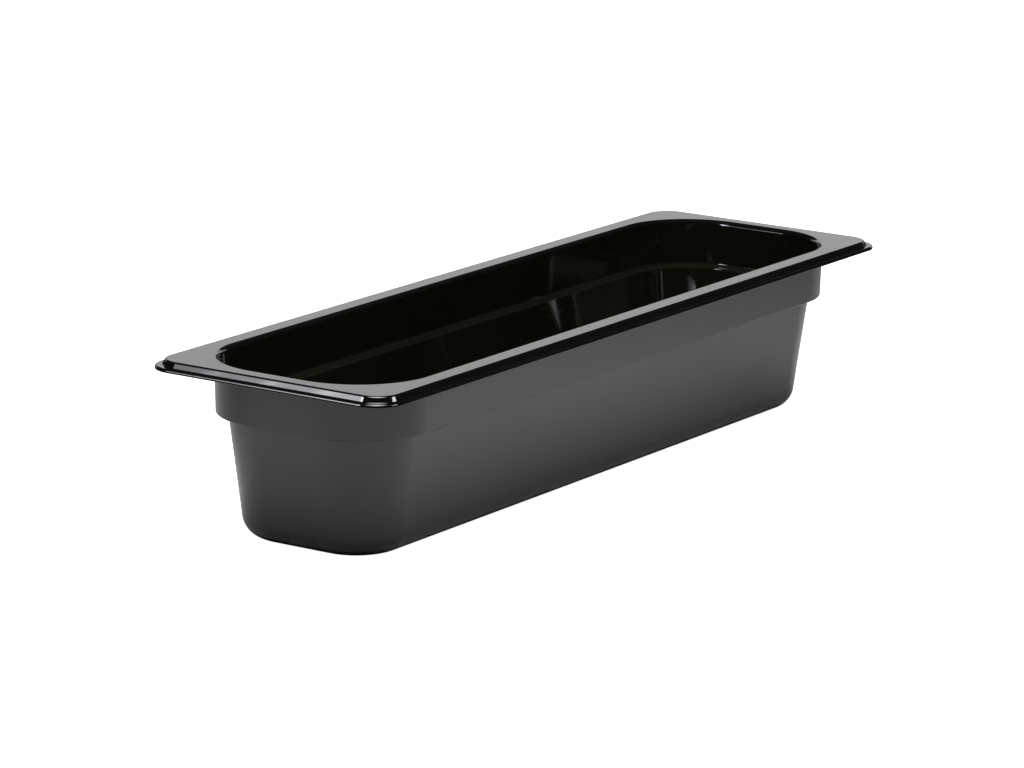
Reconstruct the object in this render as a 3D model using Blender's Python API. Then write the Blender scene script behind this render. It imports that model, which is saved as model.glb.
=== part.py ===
"""Long deli food pan: a deep tray with a stepped wall and a flanged rim.

The pan is one plastic moulding, so it is one object. Its wall is a stack of level rounded
rectangles joined into a single closed skin: up the inside from the floor, over the rim,
and down the outside to the base. Metres, +Z up, the base centred on the origin, length on X.
"""

import math

import bmesh
import bpy

MM = 0.001

# Overall size, over the lip of the rim.
LENGTH = 530 * MM
WIDTH = 162 * MM
HEIGHT = 102 * MM

# Thickness of the moulding.
WALL = 3.2 * MM
FLOOR = 3.0 * MM
DECK = 3.0 * MM

# Lower body: it tapers from the shoulder to the base.
BODY_CORE = (203.0 * MM, 18.6 * MM)  # half length and half width between the corner centres
BASE_CORNER = 30.8 * MM  # corner radius of the outside at the base plane
SHOULDER_CORNER = 40.2 * MM  # and where the body meets the shoulder
SHOULDER_HEIGHT = 70.5 * MM
BASE_FILLET = 13.0 * MM

# Upper band: nearly upright, it steps out over the shoulder.
BAND_FOOT_CORNER = 47.1 * MM
BAND_TOP_CORNER = 47.9 * MM
BAND_EDGE = 0.6 * MM  # rounding of the band's lower edge
LEDGE_HEIGHT = 73.8 * MM  # the step as it shows inside
LEDGE_HOLLOW = 1.5 * MM
LEDGE_NOSE = 1.2 * MM

# Rim: a flat deck round the mouth, a short drop, and a lip with a round nose that stands out from it.
MOUTH_FILLET = 3.0 * MM
DECK_INSET = (5.1 * MM, 3.9 * MM)  # from the lip's edge to the deck's edge, at an end and at a side
DECK_CORNER = 15.0 * MM
DECK_EDGE = 1.6 * MM
DROP_SLOPE = 0.92 * MM  # how far the drop leans out
LIP_TOP = HEIGHT - 3.15 * MM
LIP_THICKNESS = 2.05 * MM
LIP_CORNER = 17.4 * MM
LIP_EDGE = 1.4 * MM  # rounding of the lip's upper edge
LIP_FOOT = 0.3 * MM  # rounding of the lip's lower edge
LIP_DRAFT = 9.0  # how far the lip's outer face leans in at its top, in degrees

# How finely the curves are cut.
CORNER_STEPS = 12
FILLET_STEPS = 6
EDGE_STEPS = 3

PLASTIC_BLACK = (0.013, 0.013, 0.014, 1.0)
PLASTIC_ROUGHNESS = 0.22


def clear_scene():
    for obj in list(bpy.data.objects):
        bpy.data.objects.remove(obj)
    for collection in list(bpy.data.collections):
        bpy.data.collections.remove(collection)


def core_of(half_length, half_width, corner):
    """The rectangle through the corner centres of a rounded rectangle."""
    return (half_length - corner, half_width - corner)


def turn(core, middle, radius, start, end, steps):
    """Sections along a fillet: middle is its centre as (corner radius, height), angles in degrees."""
    sections = []
    for step in range(steps + 1):
        angle = math.radians(start + (end - start) * step / steps)
        across = middle[0] + radius * math.cos(angle)
        height = middle[1] + radius * math.sin(angle)
        sections.append((core, across, height))
    return sections


def body_radius(height):
    """Corner radius of the lower body's outside at a height."""
    return BASE_CORNER + (SHOULDER_CORNER - BASE_CORNER) * height / SHOULDER_HEIGHT


def band_radius(height):
    """Corner radius of the upper band's outside at a height."""
    share = (height - SHOULDER_HEIGHT) / (HEIGHT - DECK - SHOULDER_HEIGHT)
    return BAND_FOOT_CORNER + (BAND_TOP_CORNER - BAND_FOOT_CORNER) * share


def inside_sections():
    """From the floor up to the mouth."""
    taper = math.degrees(math.atan((SHOULDER_CORNER - BASE_CORNER) / SHOULDER_HEIGHT))
    hollow = BASE_FILLET - WALL
    hollow_height = FLOOR + hollow
    hollow_middle = (body_radius(hollow_height) - WALL - hollow, hollow_height)
    sections = turn(BODY_CORE, hollow_middle, hollow, -90, -taper, FILLET_STEPS)

    nose_height = LEDGE_HEIGHT - LEDGE_NOSE
    nose_middle = (body_radius(nose_height) - WALL + LEDGE_NOSE, nose_height)
    sections += turn(BODY_CORE, nose_middle, LEDGE_NOSE, 180 - taper, 90, EDGE_STEPS)

    corner_height = LEDGE_HEIGHT + LEDGE_HOLLOW
    corner_middle = (band_radius(corner_height) - WALL - LEDGE_HOLLOW, corner_height)
    sections += turn(BODY_CORE, corner_middle, LEDGE_HOLLOW, -90, 0, EDGE_STEPS)

    mouth_height = HEIGHT - MOUTH_FILLET
    mouth_middle = (band_radius(mouth_height) - WALL + MOUTH_FILLET, mouth_height)
    sections += turn(BODY_CORE, mouth_middle, MOUTH_FILLET, 180, 90, FILLET_STEPS)
    return sections


def rim_sections():
    """Out over the deck, down its drop, round the lip, and back under to the band."""
    deck_half = (LENGTH / 2 - DECK_INSET[0], WIDTH / 2 - DECK_INSET[1])
    deck_core = core_of(deck_half[0], deck_half[1], DECK_CORNER)
    lip_core = core_of(LENGTH / 2, WIDTH / 2, LIP_CORNER)
    drop_foot = DECK_CORNER + DROP_SLOPE
    lean = math.degrees(math.atan(DROP_SLOPE / (HEIGHT - DECK_EDGE - LIP_TOP)))
    lip_bottom = LIP_TOP - LIP_THICKNESS

    edge_middle = (DECK_CORNER - DECK_EDGE, HEIGHT - DECK_EDGE)
    sections = turn(deck_core, edge_middle, DECK_EDGE, 90, lean, EDGE_STEPS)
    sections.append((deck_core, drop_foot, LIP_TOP))

    lean_in = (LIP_THICKNESS - LIP_EDGE - LIP_FOOT) * math.tan(math.radians(LIP_DRAFT))
    upper_middle = (LIP_CORNER - LIP_EDGE - lean_in, LIP_TOP - LIP_EDGE)
    sections += turn(lip_core, upper_middle, LIP_EDGE, 90, LIP_DRAFT, EDGE_STEPS)
    lower_middle = (LIP_CORNER - LIP_FOOT, lip_bottom + LIP_FOOT)
    sections += turn(lip_core, lower_middle, LIP_FOOT, 0, -90, EDGE_STEPS)

    sections.append((deck_core, drop_foot - WALL, lip_bottom))
    sections.append((deck_core, drop_foot - WALL, HEIGHT - DECK))
    sections.append((BODY_CORE, BAND_TOP_CORNER, HEIGHT - DECK))
    return sections


def outside_sections():
    """Down the band, in under the shoulder, and down the tapered body to the base."""
    taper = math.degrees(math.atan((SHOULDER_CORNER - BASE_CORNER) / SHOULDER_HEIGHT))
    edge_middle = (BAND_FOOT_CORNER - BAND_EDGE, SHOULDER_HEIGHT + BAND_EDGE)
    sections = turn(BODY_CORE, edge_middle, BAND_EDGE, 0, -90, EDGE_STEPS)
    sections.append((BODY_CORE, SHOULDER_CORNER, SHOULDER_HEIGHT))

    fillet_middle = (body_radius(BASE_FILLET) - BASE_FILLET, BASE_FILLET)
    sections += turn(BODY_CORE, fillet_middle, BASE_FILLET, -taper, -90, FILLET_STEPS)
    return sections


def ring_of(mesh, core, corner, height):
    """A level rounded rectangle, its points running anticlockwise seen from above."""
    ring = []
    for quarter, (side_x, side_y) in enumerate(((1, 1), (-1, 1), (-1, -1), (1, -1))):
        for step in range(CORNER_STEPS + 1):
            angle = math.pi / 2 * (quarter + step / CORNER_STEPS)
            x = side_x * core[0] + corner * math.cos(angle)
            y = side_y * core[1] + corner * math.sin(angle)
            ring.append(mesh.verts.new((x, y, height)))
    return ring


def loft(sections):
    """One closed skin through the sections, capped by the floor and by the base."""
    mesh = bmesh.new()
    rings = [ring_of(mesh, *section) for section in sections]
    for below, above in zip(rings, rings[1:]):
        count = len(below)
        for here in range(count):
            after = (here + 1) % count
            mesh.faces.new((below[here], above[here], above[after], below[after]))
    mesh.faces.new(rings[0])
    mesh.faces.new(reversed(rings[-1]))
    bmesh.ops.recalc_face_normals(mesh, faces=mesh.faces)
    return mesh


def black_plastic():
    material = bpy.data.materials.new("black_polycarbonate")
    material.use_nodes = True
    shader = material.node_tree.nodes["Principled BSDF"]
    shader.inputs["Base Color"].default_value = PLASTIC_BLACK
    shader.inputs["Roughness"].default_value = PLASTIC_ROUGHNESS
    shader.inputs["Metallic"].default_value = 0.0
    return material


def food_pan(collection):
    """The whole moulding."""
    skin = loft(inside_sections() + rim_sections() + outside_sections())
    data = bpy.data.meshes.new("food_pan")
    skin.to_mesh(data)
    skin.free()
    data.materials.append(black_plastic())
    data.shade_smooth()
    data.set_sharp_from_angle(angle=math.radians(40))
    pan = bpy.data.objects.new("food_pan", data)
    collection.objects.link(pan)
    return pan


def main():
    clear_scene()
    collection = bpy.data.collections.new("deli_food_pan")
    bpy.context.scene.collection.children.link(collection)
    food_pan(collection)


main()
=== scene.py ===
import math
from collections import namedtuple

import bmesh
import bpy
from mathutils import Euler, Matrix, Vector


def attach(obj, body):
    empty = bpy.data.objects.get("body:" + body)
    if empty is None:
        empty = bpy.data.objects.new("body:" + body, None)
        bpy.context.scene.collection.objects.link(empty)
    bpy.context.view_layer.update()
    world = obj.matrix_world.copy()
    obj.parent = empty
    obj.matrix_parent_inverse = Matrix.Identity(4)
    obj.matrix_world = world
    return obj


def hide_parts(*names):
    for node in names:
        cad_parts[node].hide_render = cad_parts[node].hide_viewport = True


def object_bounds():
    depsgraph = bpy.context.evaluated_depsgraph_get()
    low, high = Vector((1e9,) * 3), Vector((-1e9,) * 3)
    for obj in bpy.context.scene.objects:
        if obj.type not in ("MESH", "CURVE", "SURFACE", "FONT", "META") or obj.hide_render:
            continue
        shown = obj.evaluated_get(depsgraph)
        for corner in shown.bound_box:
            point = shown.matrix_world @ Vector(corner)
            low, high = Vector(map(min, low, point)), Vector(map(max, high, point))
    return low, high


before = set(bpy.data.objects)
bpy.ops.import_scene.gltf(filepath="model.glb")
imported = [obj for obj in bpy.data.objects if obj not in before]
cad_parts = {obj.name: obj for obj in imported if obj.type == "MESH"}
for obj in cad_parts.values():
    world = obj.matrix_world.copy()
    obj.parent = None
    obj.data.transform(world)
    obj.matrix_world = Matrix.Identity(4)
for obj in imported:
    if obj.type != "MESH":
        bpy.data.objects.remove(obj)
cad_low, cad_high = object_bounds()

# The looks of a long black food pan: a finely rounded skin in the place of the CAD moulding, with its
# polished, handled and satin finishes, on a pale floor in soft studio light. Metres, +Z up, the pan's
# length on X. A section of the pan is a level rounded rectangle, given by the half sizes of its core,
# which is the rectangle through the corner centres, by its corner radius and by its height.

MM = 0.001

# Overall size, from the frame.
LENGTH = cad_high.x - cad_low.x
WIDTH = cad_high.y - cad_low.y
HEIGHT = cad_high.z - cad_low.z

# Thickness of the moulding.
WALL = 3.2 * MM
FLOOR = 3.0 * MM
DECK = 3.0 * MM

# Lower body.
BODY_CORE = (203.0 * MM, 18.6 * MM)
BASE_CORNER = 30.8 * MM
SHOULDER_CORNER = 40.2 * MM
SHOULDER_HEIGHT = 70.5 * MM
BASE_FILLET = 13.0 * MM
CAP_CORNER = 4.0 * MM  # the small rounded rectangle that closes the floor and the base

# Upper band, and the step as it shows inside.
BAND_FOOT_CORNER = 47.1 * MM
BAND_TOP_CORNER = 47.9 * MM
BAND_EDGE = 0.6 * MM
SHOULDER_HOLLOW = 0.5 * MM
LEDGE_HEIGHT = 73.8 * MM
LEDGE_HOLLOW = 1.5 * MM
LEDGE_NOSE = 1.2 * MM

# Rim.
MOUTH_FILLET = 3.0 * MM
DECK_INSET = (5.1 * MM, 3.9 * MM)
DECK_CORNER = 15.0 * MM
DECK_EDGE = 1.6 * MM
DROP_SLOPE = 0.92 * MM
DROP_HOLLOW = 0.2 * MM
LIP_TOP = HEIGHT - 3.15 * MM
LIP_THICKNESS = 2.05 * MM
LIP_CORNER = 17.4 * MM
LIP_EDGE = 1.4 * MM  # rounding of the lip's upper edge
LIP_FOOT = 0.3 * MM  # rounding of the lip's lower edge
LIP_DRAFT = 9.0  # how far the lip's outer face leans in at its top, in degrees
RECESS_HOLLOW = 0.4 * MM

# How finely the skin is cut.
CORNER_STEPS = 32
FILLET_STEPS = 12
EDGE_STEPS = 6
LONG_SIDE_STEPS = 40
SHORT_SIDE_STEPS = 4

# Camera.
CAMERA_AIM = Vector((-0.00726, 0.0104, 0.04894))
CAMERA_AZIMUTH = -56.264
CAMERA_ELEVATION = 13.56
CAMERA_ROLL = 0.772
CAMERA_DISTANCE = 2.7981
CAMERA_LENS = 168.971

# Floor. Where the gloss shows it, its colour is darkened behind the pan and far from it: a painted shadow of
# the pan and a painted falloff of the light.
FLOOR_SIZE = 6.0  # half a side
FLOOR_WHITE = 0.9
FLOOR_GAP = 0.1 * MM  # between the floor and the base, so that they don't lie in one plane
FLOOR_LIFT = 1.0  # the light that the camera sees it give off
FLOOR_ROUGHNESS = 0.9
# Painted shade: in the pan's gloss the floor's colour fades to these shares behind the pan, for its shadow,
# and far from the middle, for the light's falloff.
BACK_WAY = (0.25, 0.97, 0.0)
PAN_SHADOW_FADE = (0.05, 0.17, 1.0, 0.65)  # from and to these distances that way, from and to these shares
FAR_MIDDLE = (-0.22, -0.05, 0.0)
LIGHT_FALLOFF_FADE = (0.4, 1.3, 1.0, 0.1)

# Lights.
WHITE = (1.0, 1.0, 1.0)
WARM_WHITE = (1.0, 0.985, 0.985)
COOL_WHITE = (0.94, 0.94, 1.0)
PALE_COOL_WHITE = (0.97, 0.97, 1.0)
WORLD_STRENGTHS = (0.025, 1.3)  # for everything else, and for the camera
SIDE_STRIPS = 9
SIDE_AZIMUTHS = (133.5, 154.0)
SIDE_RADIANCES = (3.1, 17.0)
SIDE_RISE = 1.15  # the power by which the radiance rises from the first to the second
SIDE_ELEVATION = 24.0
SIDE_HEIGHT = 0.56
SIDE_DISTANCE = 1.0

Section = namedtuple("Section", "core corner height finish wear")


# ---------------------------------------------------------------- the pan's skin


def turn(core, middle, radius, start, end, steps, finish, wear=0.0):
    """Sections along a fillet: middle is its centre as (corner radius, height), angles in degrees.
    Wear is greatest half way round the fillet."""
    sections = []
    for step in range(steps + 1):
        share = step / steps
        angle = math.radians(start + (end - start) * share)
        corner = middle[0] + radius * math.cos(angle)
        height = middle[1] + radius * math.sin(angle)
        sections.append(Section(core, corner, height, finish, wear * math.sin(math.pi * share)))
    return sections


def body_radius(height):
    """Corner radius of the lower body's outside at a height."""
    return BASE_CORNER + (SHOULDER_CORNER - BASE_CORNER) * height / SHOULDER_HEIGHT


def band_radius(height):
    """Corner radius of the upper band's outside at a height."""
    share = (height - SHOULDER_HEIGHT) / (HEIGHT - DECK - SHOULDER_HEIGHT)
    return BAND_FOOT_CORNER + (BAND_TOP_CORNER - BAND_FOOT_CORNER) * share


def body_taper():
    """Lean of the lower body's wall, in degrees."""
    return math.degrees(math.atan((SHOULDER_CORNER - BASE_CORNER) / SHOULDER_HEIGHT))


def inside_sections():
    """From the middle of the floor up to the mouth."""
    taper = body_taper()
    hollow = BASE_FILLET - WALL
    hollow_height = FLOOR + hollow
    hollow_middle = (body_radius(hollow_height) - WALL - hollow, hollow_height)
    sections = [Section(BODY_CORE, CAP_CORNER, FLOOR, "polished", 0.0)]
    sections += turn(BODY_CORE, hollow_middle, hollow, -90, -taper, FILLET_STEPS, "polished")

    nose_height = LEDGE_HEIGHT - LEDGE_NOSE
    nose_middle = (body_radius(nose_height) - WALL + LEDGE_NOSE, nose_height)
    sections += turn(BODY_CORE, nose_middle, LEDGE_NOSE, 180 - taper, 90, EDGE_STEPS, "polished", 1.0)

    corner_height = LEDGE_HEIGHT + LEDGE_HOLLOW
    corner_middle = (band_radius(corner_height) - WALL - LEDGE_HOLLOW, corner_height)
    sections += turn(BODY_CORE, corner_middle, LEDGE_HOLLOW, -90, 0, EDGE_STEPS, "polished")

    mouth_height = HEIGHT - MOUTH_FILLET
    mouth_middle = (band_radius(mouth_height) - WALL + MOUTH_FILLET, mouth_height)
    sections += turn(BODY_CORE, mouth_middle, MOUTH_FILLET, 180, 90, FILLET_STEPS, "rim", 0.1)
    return sections


def rim_sections():
    """Out over the deck, down its drop, round the lip, and back under to the band."""
    deck_core = (LENGTH / 2 - DECK_INSET[0] - DECK_CORNER, WIDTH / 2 - DECK_INSET[1] - DECK_CORNER)
    lip_core = (LENGTH / 2 - LIP_CORNER, WIDTH / 2 - LIP_CORNER)
    drop_foot = DECK_CORNER + DROP_SLOPE
    drop_height = HEIGHT - DECK_EDGE - LIP_TOP
    lean = math.degrees(math.atan(DROP_SLOPE / drop_height))
    lip_bottom = LIP_TOP - LIP_THICKNESS

    edge_middle = (DECK_CORNER - DECK_EDGE, HEIGHT - DECK_EDGE)
    sections = turn(deck_core, edge_middle, DECK_EDGE, 90, lean, EDGE_STEPS, "rim", 1.0)
    hollow_middle = (drop_foot + DROP_HOLLOW, LIP_TOP + DROP_HOLLOW)
    sections += turn(deck_core, hollow_middle, DROP_HOLLOW, 180 + lean, 270, EDGE_STEPS // 2, "rim")

    lean_in = (LIP_THICKNESS - LIP_EDGE - LIP_FOOT) * math.tan(math.radians(LIP_DRAFT))
    upper_middle = (LIP_CORNER - LIP_EDGE - lean_in, LIP_TOP - LIP_EDGE)
    sections += turn(lip_core, upper_middle, LIP_EDGE, 90, LIP_DRAFT, FILLET_STEPS, "rim", 1.0)
    lower_middle = (LIP_CORNER - LIP_FOOT, lip_bottom + LIP_FOOT)
    sections += turn(lip_core, lower_middle, LIP_FOOT, LIP_DRAFT, -90, EDGE_STEPS, "rim", 1.0)

    recess = drop_foot - WALL
    nose_middle = (recess + RECESS_HOLLOW, lip_bottom + RECESS_HOLLOW)
    sections += turn(deck_core, nose_middle, RECESS_HOLLOW, 270, 180, EDGE_STEPS // 2, "satin")
    corner_middle = (recess - RECESS_HOLLOW, HEIGHT - DECK - RECESS_HOLLOW)
    sections += turn(deck_core, corner_middle, RECESS_HOLLOW, 0, 90, EDGE_STEPS // 2, "satin")
    root_middle = (BAND_TOP_CORNER + RECESS_HOLLOW, HEIGHT - DECK - RECESS_HOLLOW)
    sections += turn(BODY_CORE, root_middle, RECESS_HOLLOW, 90, 180, EDGE_STEPS // 2, "satin")
    return sections


def outside_sections():
    """Down the band, in under the shoulder, and down the tapered body to the middle of the base."""
    taper = body_taper()
    edge_middle = (BAND_FOOT_CORNER - BAND_EDGE, SHOULDER_HEIGHT + BAND_EDGE)
    sections = turn(BODY_CORE, edge_middle, BAND_EDGE, 0, -90, EDGE_STEPS, "satin", 0.7)
    root_middle = (SHOULDER_CORNER + SHOULDER_HOLLOW, SHOULDER_HEIGHT - SHOULDER_HOLLOW)
    sections += turn(BODY_CORE, root_middle, SHOULDER_HOLLOW, 90, 180 - taper, EDGE_STEPS // 2, "satin")

    fillet_middle = (body_radius(BASE_FILLET) - BASE_FILLET, BASE_FILLET)
    sections += turn(BODY_CORE, fillet_middle, BASE_FILLET, -taper, -90, FILLET_STEPS, "satin", 0.5)
    sections.append(Section(BODY_CORE, CAP_CORNER, 0.0, "satin", 0.3))
    return sections


def ring_points(core, corner):
    """A rounded rectangle, anticlockwise from its +X side, with its straight sides cut up as well."""
    points = []
    for quarter, (side_x, side_y) in enumerate(((1, 1), (-1, 1), (-1, -1), (1, -1))):
        for step in range(CORNER_STEPS + 1):
            angle = math.pi / 2 * (quarter + step / CORNER_STEPS)
            x = side_x * core[0] + corner * math.cos(angle)
            y = side_y * core[1] + corner * math.sin(angle)
            points.append((x, y))
        steps = LONG_SIDE_STEPS if quarter % 2 == 0 else SHORT_SIDE_STEPS
        next_angle = math.pi / 2 * (quarter + 1)
        next_side = ((-1, 1), (-1, -1), (1, -1), (1, 1))[quarter]
        end = (
            next_side[0] * core[0] + corner * math.cos(next_angle),
            next_side[1] * core[1] + corner * math.sin(next_angle),
        )
        start = points[-1]
        for step in range(1, steps):
            share = step / steps
            points.append((start[0] + (end[0] - start[0]) * share, start[1] + (end[1] - start[1]) * share))
    return points


def loft(sections, finishes):
    """One closed skin through the sections, with the wear of each section on its points."""
    mesh = bmesh.new()
    wear = mesh.verts.layers.float.new("wear")
    rings = []
    for section in sections:
        ring = [mesh.verts.new((x, y, section.height)) for x, y in ring_points(section.core, section.corner)]
        for point in ring:
            point[wear] = section.wear
        rings.append(ring)
    for section, below, above in zip(sections, rings, rings[1:]):
        count = len(below)
        for here in range(count):
            after = (here + 1) % count
            face = mesh.faces.new((below[here], above[here], above[after], below[after]))
            face.material_index = finishes.index(section.finish)
    for ring, section in ((rings[0], sections[0]), (list(reversed(rings[-1])), sections[-1])):
        mesh.faces.new(ring).material_index = finishes.index(section.finish)
    bmesh.ops.remove_doubles(mesh, verts=mesh.verts, dist=0.001 * MM)
    bmesh.ops.recalc_face_normals(mesh, faces=mesh.faces)
    for face in mesh.faces:
        face.smooth = True
    return mesh


# ---------------------------------------------------------------- materials


class Nodes:
    """A short way to write a material's nodes."""

    def __init__(self, name):
        self.material = bpy.data.materials.new(name)
        self.material.use_nodes = True
        self.tree = self.material.node_tree
        self.shader = self.tree.nodes["Principled BSDF"]
        self.place = self.add("ShaderNodeTexCoord").outputs["Object"]

    def add(self, kind, **settings):
        node = self.tree.nodes.new(kind)
        for name, value in settings.items():
            setattr(node, name, value)
        return node

    def link(self, source, socket):
        self.tree.links.new(source, socket)

    def stretched(self, scale, turned):
        mapping = self.add("ShaderNodeMapping")
        mapping.inputs["Scale"].default_value = scale
        mapping.inputs["Rotation"].default_value = (0.0, 0.0, math.radians(turned))
        self.link(self.place, mapping.inputs["Vector"])
        return mapping.outputs["Vector"]

    def noise(self, scale, detail=2.0, rough=0.5, vector=None):
        node = self.add("ShaderNodeTexNoise")
        node.inputs["Scale"].default_value = scale
        node.inputs["Detail"].default_value = detail
        node.inputs["Roughness"].default_value = rough
        self.link(vector or self.place, node.inputs["Vector"])
        return node.outputs["Fac"]

    def remap(self, source, low, high, to_low, to_high):
        node = self.add("ShaderNodeMapRange")
        self.link(source, node.inputs["Value"])
        for name, value in (("From Min", low), ("From Max", high), ("To Min", to_low), ("To Max", to_high)):
            node.inputs[name].default_value = value
        return node.outputs["Result"]

    def maths(self, operation, first, second):
        node = self.add("ShaderNodeMath", operation=operation)
        for socket, value in zip(node.inputs, (first, second)):
            if isinstance(value, (int, float)):
                socket.default_value = value
            else:
                self.link(value, socket)
        return node.outputs["Value"]

    def measure(self, operation, other):
        node = self.add("ShaderNodeVectorMath", operation=operation)
        self.link(self.place, node.inputs[0])
        node.inputs[1].default_value = other
        return node.outputs["Value"]

    def attribute(self, name):
        return self.add("ShaderNodeAttribute", attribute_name=name).outputs["Fac"]

    def blend(self, share, low, high):
        node = self.add("ShaderNodeMix", data_type="RGBA")
        self.link(share, node.inputs["Factor"])
        node.inputs["A"].default_value = (*low, 1.0)
        node.inputs["B"].default_value = (*high, 1.0)
        return node.outputs["Result"]

    def bump(self, height, distance, before=None):
        node = self.add("ShaderNodeBump")
        node.inputs["Distance"].default_value = distance
        node.inputs["Strength"].default_value = 1.0
        self.link(height, node.inputs["Height"])
        if before is not None:
            self.link(before, node.inputs["Normal"])
        return node.outputs["Normal"]


POLYCARBONATE_IOR = 1.585
HAIRLINE_SCALE = (9.0, 1500.0, 30.0)  # per metre, along the scratch, across it, and up
HAIRLINE_CUT = (0.68, 0.71)  # where a hairline starts in the noise, and where it is full
HAIRLINE_TURNS = (8.0, -31.0, 74.0)  # degrees from the pan's length

# Patterns in the finishes: scales per metre, and the ends between which a noise is used.
CLOUD_SCALE = 14.0
CLOUD_SHARE = 0.75
SPECK_SCALE = 900.0
TINT_CUT = (0.35, 0.65)
SMEAR_SCALE = 38.0
SMEAR_CUT = (0.3, 0.7)
RUB_SCALE = 420.0
RUB_CUT = (0.42, 0.62)


def hairlines(nodes, turned):
    """Fine scratches along one direction on the level: a stretched noise cut to its thin peaks."""
    streaks = nodes.noise(1.0, 1.0, 0.5, nodes.stretched(HAIRLINE_SCALE, turned))
    return nodes.remap(streaks, *HAIRLINE_CUT, 0.0, 1.0)


def black_plastic(name, colours, roughness, wave, wave_depth, grain, grain_depth, rubbed, scratched):
    """Black polycarbonate. colours and roughness are low and high ends. rubbed is the roughness that
    worn edges gain, and scratched what hairlines gain. wave and grain are the scales of the slow and
    the fine relief, per metre."""
    nodes = Nodes(name)
    shader = nodes.shader
    shader.inputs["IOR"].default_value = POLYCARBONATE_IOR

    cloud = nodes.maths("MULTIPLY", nodes.noise(CLOUD_SCALE, 3.0), CLOUD_SHARE)
    speck = nodes.maths("MULTIPLY", nodes.noise(SPECK_SCALE, 2.0), 1.0 - CLOUD_SHARE)
    tint = nodes.remap(nodes.maths("ADD", cloud, speck), *TINT_CUT, 0.0, 1.0)
    nodes.link(nodes.blend(tint, *colours), shader.inputs["Base Color"])

    smear = nodes.noise(SMEAR_SCALE, 4.0, 0.55)
    base = nodes.remap(smear, *SMEAR_CUT, *roughness)
    patchy = nodes.remap(nodes.noise(RUB_SCALE, 3.0), *RUB_CUT, 0.0, rubbed)
    rub = nodes.maths("MULTIPLY", nodes.attribute("wear"), patchy)
    rough = nodes.maths("ADD", base, rub)
    for turned in HAIRLINE_TURNS:
        rough = nodes.maths("ADD", rough, nodes.maths("MULTIPLY", hairlines(nodes, turned), scratched))
    nodes.link(rough, shader.inputs["Roughness"])

    normal = nodes.bump(nodes.noise(wave, 1.0), wave_depth)
    normal = nodes.bump(nodes.noise(grain, 2.0, 0.6), grain_depth, before=normal)
    nodes.link(normal, shader.inputs["Normal"])
    return nodes.material


def finishes():
    """The three finishes of the one moulding: the inside, the rim, and the outside."""
    return {
        "polished": black_plastic(
            "polished_black",
            colours=((0.008, 0.0085, 0.005), (0.0125, 0.013, 0.0075)),
            roughness=(0.03, 0.07),
            wave=14.0, wave_depth=0.008 * MM,
            grain=700.0, grain_depth=0.0003 * MM,
            rubbed=0.05, scratched=0.03,
        ),
        "rim": black_plastic(
            "handled_black",
            colours=((0.003, 0.003, 0.003), (0.006, 0.006, 0.006)),
            roughness=(0.03, 0.07),
            wave=16.0, wave_depth=0.02 * MM,
            grain=900.0, grain_depth=0.0006 * MM,
            rubbed=0.05, scratched=0.05,
        ),
        "satin": black_plastic(
            "satin_black",
            colours=((0.004, 0.004, 0.004), (0.007, 0.007, 0.007)),
            roughness=(0.21, 0.26),
            wave=12.0, wave_depth=0.02 * MM,
            grain=2600.0, grain_depth=0.010 * MM,
            rubbed=0.08, scratched=0.015,
        ),
    }


def make_pan():
    """The whole moulding, with one material slot for each finish."""
    materials = finishes()
    names = list(materials)
    skin = loft(inside_sections() + rim_sections() + outside_sections(), names)
    data = bpy.data.meshes.new("pan_moulding")
    skin.to_mesh(data)
    skin.free()
    for name in names:
        data.materials.append(materials[name])
    pan = bpy.data.objects.new("pan_moulding", data)
    bpy.context.scene.collection.objects.link(pan)
    weigh = pan.modifiers.new("even_shading", "WEIGHTED_NORMAL")
    weigh.weight = 100
    weigh.keep_sharp = True
    return pan


# ---------------------------------------------------------------- floor, light and camera


def make_floor():
    """A wide pale floor. The camera sees it as white as the background. In the pan's gloss its colour
    is darkened behind the pan and far away: painted shade for the pan's shadow and the light's falloff."""
    mesh = bmesh.new()
    bmesh.ops.create_grid(mesh, x_segments=2, y_segments=2, size=FLOOR_SIZE)
    data = bpy.data.meshes.new("floor")
    mesh.to_mesh(data)
    mesh.free()
    floor = bpy.data.objects.new("floor", data)
    floor.location.z = -FLOOR_GAP
    bpy.context.scene.collection.objects.link(floor)
    nodes = Nodes("floor_white")
    shader = nodes.shader
    shader.inputs["Roughness"].default_value = FLOOR_ROUGHNESS
    shader.inputs["Specular IOR Level"].default_value = 0.0
    shader.inputs["Emission Color"].default_value = (1.0, 1.0, 1.0, 1.0)
    rays = nodes.add("ShaderNodeLightPath").outputs
    # Painted shade: for glossy rays the floor's colour is darkened behind the pan, standing in for its
    # shadow, and far from it, standing in for the light's falloff.
    behind = nodes.remap(nodes.measure("DOT_PRODUCT", BACK_WAY), *PAN_SHADOW_FADE)
    far = nodes.remap(nodes.measure("DISTANCE", FAR_MIDDLE), *LIGHT_FALLOFF_FADE)
    seen = nodes.maths("MULTIPLY", behind, far)
    painted_shade = nodes.maths("MULTIPLY", rays["Is Glossy Ray"], nodes.maths("SUBTRACT", 1.0, seen))
    white = nodes.maths("MULTIPLY", nodes.maths("SUBTRACT", 1.0, painted_shade), FLOOR_WHITE)
    nodes.link(white, shader.inputs["Base Color"])
    lift = nodes.maths("MULTIPLY", rays["Is Camera Ray"], FLOOR_LIFT)
    nodes.link(lift, shader.inputs["Emission Strength"])
    data.materials.append(nodes.material)


def direction(azimuth, elevation):
    """The way from the pan towards a light. Azimuth 0 is +X and 90 is +Y."""
    flat = math.cos(math.radians(elevation))
    return Vector((
        flat * math.cos(math.radians(azimuth)),
        flat * math.sin(math.radians(azimuth)),
        math.sin(math.radians(elevation)),
    ))


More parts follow.
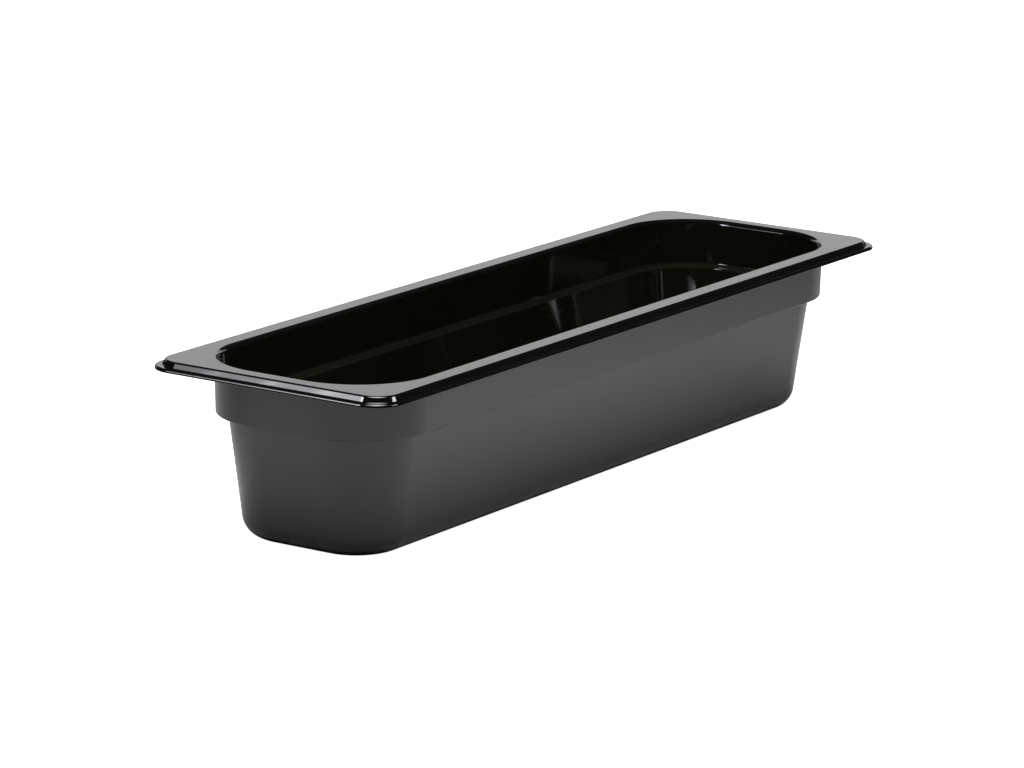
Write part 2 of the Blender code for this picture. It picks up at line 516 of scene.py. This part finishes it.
def panel_light(name, aim, azimuth, elevation, distance, size, radiance, colour=WHITE, spread=180.0,
                lit=False, reflected=True):
    """A soft box that faces its aim. It lights matt surfaces, or is seen in glossy ones, or both. A
    spread under 180 degrees is a grid on the box, and radiance is then the box's seen straight on."""
    data = bpy.data.lights.new(name, "AREA")
    data.shape = "RECTANGLE"
    data.size = size[0]
    data.size_y = size[1]
    data.color = colour
    data.spread = math.radians(spread)
    data.energy = radiance * math.pi * size[0] * size[1]
    if spread < 180.0:
        half = math.radians(spread) / 2
        data.energy *= (math.tan(half) - half) / math.tan(half)
    light = bpy.data.objects.new(name, data)
    away = direction(azimuth, elevation)
    light.location = aim + away * distance
    light.rotation_euler = away.to_track_quat("Z", "Y").to_euler()
    light.visible_camera = False
    light.visible_diffuse = lit
    light.visible_glossy = reflected
    bpy.context.scene.collection.objects.link(light)


def make_lights():
    """A ceiling that lights the floor, and the boxes that the gloss shows: a low one far behind the pan,
    one at its left that grows brighter towards the front, and two small gridded ones close to its near
    corner, over it and in front of it. The grids keep these two out of the gloss of the far corners."""
    middle = Vector((0.0, 0.0, HEIGHT))
    near_end = Vector((-LENGTH / 2, 0.0, HEIGHT))
    near_corner = Vector((-LENGTH / 2, -WIDTH / 2, HEIGHT))
    panel_light("ceiling", middle, 34, 89, 2.2, (3.0, 3.0), 3.2, lit=True, reflected=False)
    panel_light("backdrop", middle, 34, 15.7, 8.0, (16.0, 1.48), 0.95, WARM_WHITE)
    width = SIDE_DISTANCE * math.radians(SIDE_AZIMUTHS[1] - SIDE_AZIMUTHS[0]) / (SIDE_STRIPS - 1)
    side_size = (width, SIDE_HEIGHT)
    for strip in range(SIDE_STRIPS):
        share = strip / (SIDE_STRIPS - 1)
        azimuth = SIDE_AZIMUTHS[0] + (SIDE_AZIMUTHS[1] - SIDE_AZIMUTHS[0]) * share
        rise = (SIDE_RADIANCES[1] - SIDE_RADIANCES[0]) * share**SIDE_RISE
        radiance = SIDE_RADIANCES[0] + rise
        name = f"side_{strip}"
        panel_light(name, near_end, azimuth, SIDE_ELEVATION, SIDE_DISTANCE, side_size, radiance, COOL_WHITE)
    panel_light("overhead", near_corner, 214, 74, 0.35, (0.40, 0.28), 20.0, WHITE, 55.0)
    panel_light("front_low", near_corner, -70, 27, 0.35, (0.155, 0.07), 15.0, PALE_COOL_WHITE, 60.0)


def make_world():
    """White to the camera, dim to everything else."""
    world = bpy.data.worlds.new("studio")
    world.use_nodes = True
    tree = world.node_tree
    background = tree.nodes["Background"]
    rays = tree.nodes.new("ShaderNodeLightPath")
    strength = tree.nodes.new("ShaderNodeMapRange")
    strength.inputs["To Min"].default_value = WORLD_STRENGTHS[0]
    strength.inputs["To Max"].default_value = WORLD_STRENGTHS[1]
    tree.links.new(rays.outputs["Is Camera Ray"], strength.inputs["Value"])
    tree.links.new(strength.outputs["Result"], background.inputs["Strength"])
    background.inputs["Color"].default_value = (1.0, 1.0, 1.0, 1.0)
    bpy.context.scene.world = world


def make_camera():
    data = bpy.data.cameras.new("camera")
    data.lens = CAMERA_LENS
    data.clip_end = 30.0
    camera = bpy.data.objects.new("camera", data)
    tilt = Euler((math.radians(90 - CAMERA_ELEVATION), 0.0, math.radians(CAMERA_AZIMUTH))).to_matrix()
    roll = Euler((0.0, 0.0, math.radians(CAMERA_ROLL))).to_matrix()
    facing = tilt @ roll
    camera.rotation_euler = facing.to_euler()
    camera.location = CAMERA_AIM + facing @ Vector((0.0, 0.0, CAMERA_DISTANCE))
    bpy.context.scene.collection.objects.link(camera)
    bpy.context.scene.camera = camera


pan = make_pan()
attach(pan, "root")
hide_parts("food_pan")

make_floor()
make_lights()
make_world()
make_camera()
bpy.context.scene.view_settings.view_transform = "Standard"
